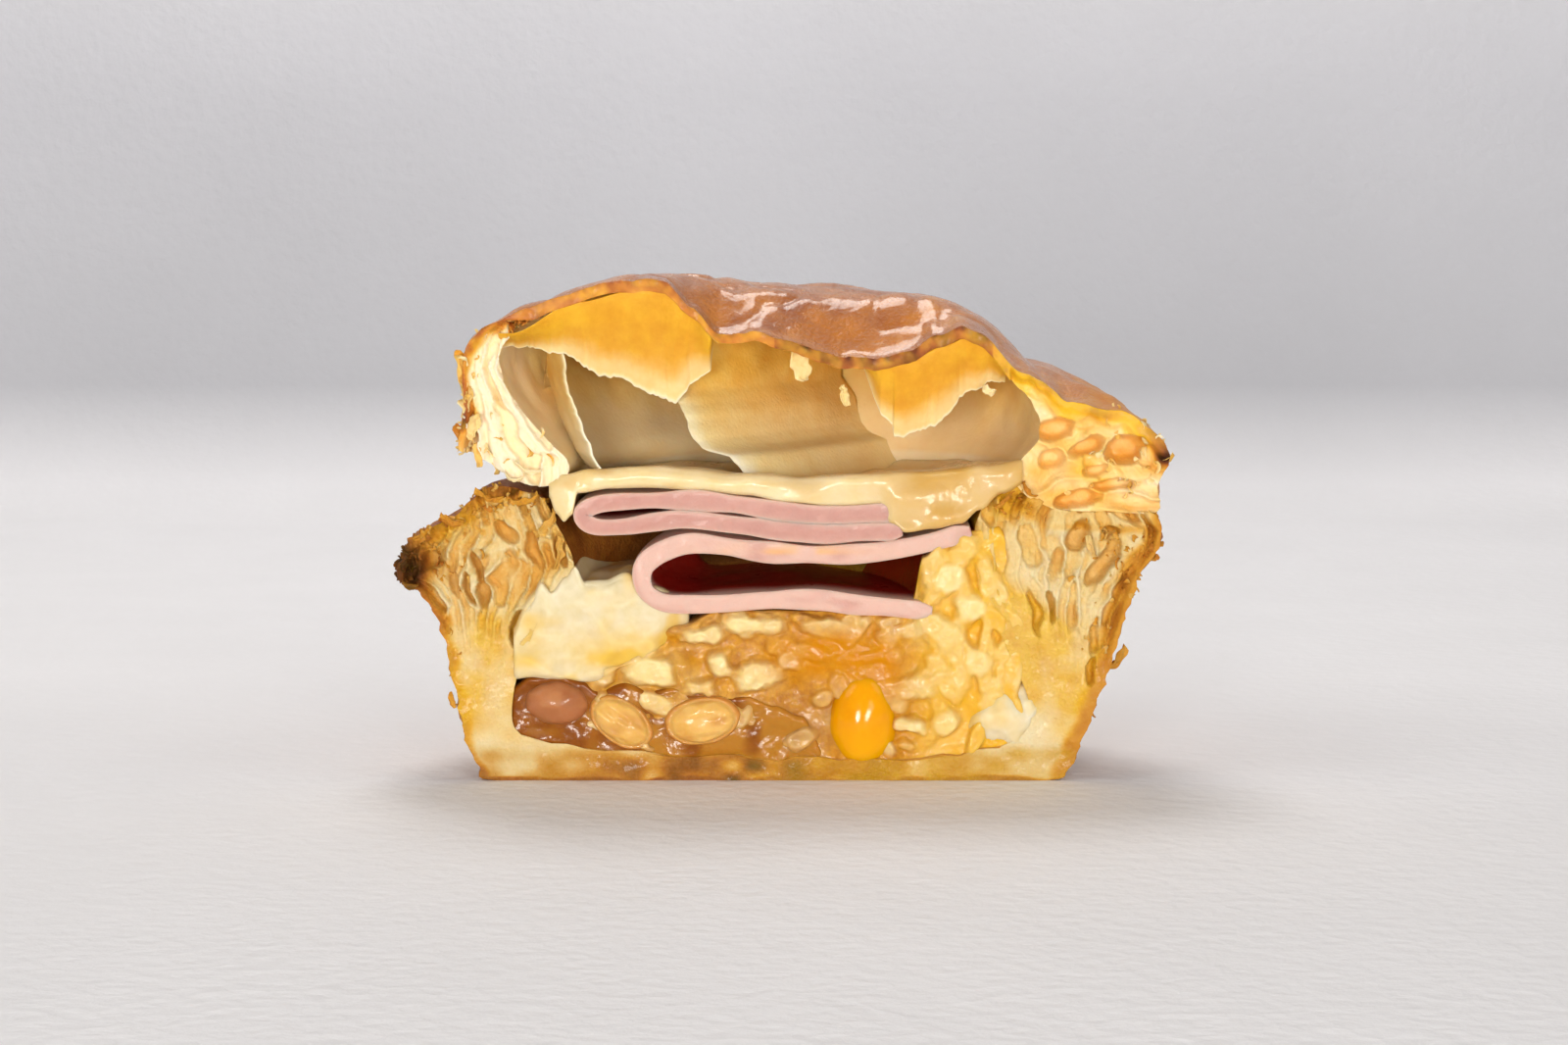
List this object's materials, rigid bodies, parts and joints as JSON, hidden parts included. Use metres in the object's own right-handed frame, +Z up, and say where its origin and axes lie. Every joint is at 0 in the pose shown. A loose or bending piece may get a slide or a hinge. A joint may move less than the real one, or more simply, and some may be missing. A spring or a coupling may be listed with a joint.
{
  "type": "breakfast pie",
  "caption": "Half of a puffed pastry pie, cut open to show melted cheese, folded ham, egg, potato and baked beans in a browned flaky crust.",
  "frame": {"origin": "centre of the whole round pie's flat base, just behind the knife cut", "axes": "+Z up, +X along the cut towards the side whose lid reaches lowest, and the cut face looks along -Y"},
  "size_m": [0.1134, 0.0621, 0.0746],
  "materials": {
    "pastry": "matt, flaky",
    "crust": "glazed, browned",
    "cheese": "melted, satin",
    "ham": "moist",
    "egg_white": "moist",
    "egg_yolk": "wet gloss",
    "hash": "wet",
    "sauce": "wet gloss",
    "bean": "wet gloss"
  },
  "bodies": {
    "root": {"pastry_case": "pastry", "pastry_lid": "crust", "cheese": "cheese", "ham_folded": "ham", "ham_loop": "ham", "egg_white": "egg_white", "egg_white_corner": "egg_white", "egg_yolk": "egg_yolk", "potato_hash": "hash", "bean_sauce": "sauce", "bean_left": "bean", "bean_middle": "bean", "bean_right": "bean"}
  },
  "joints": []
}
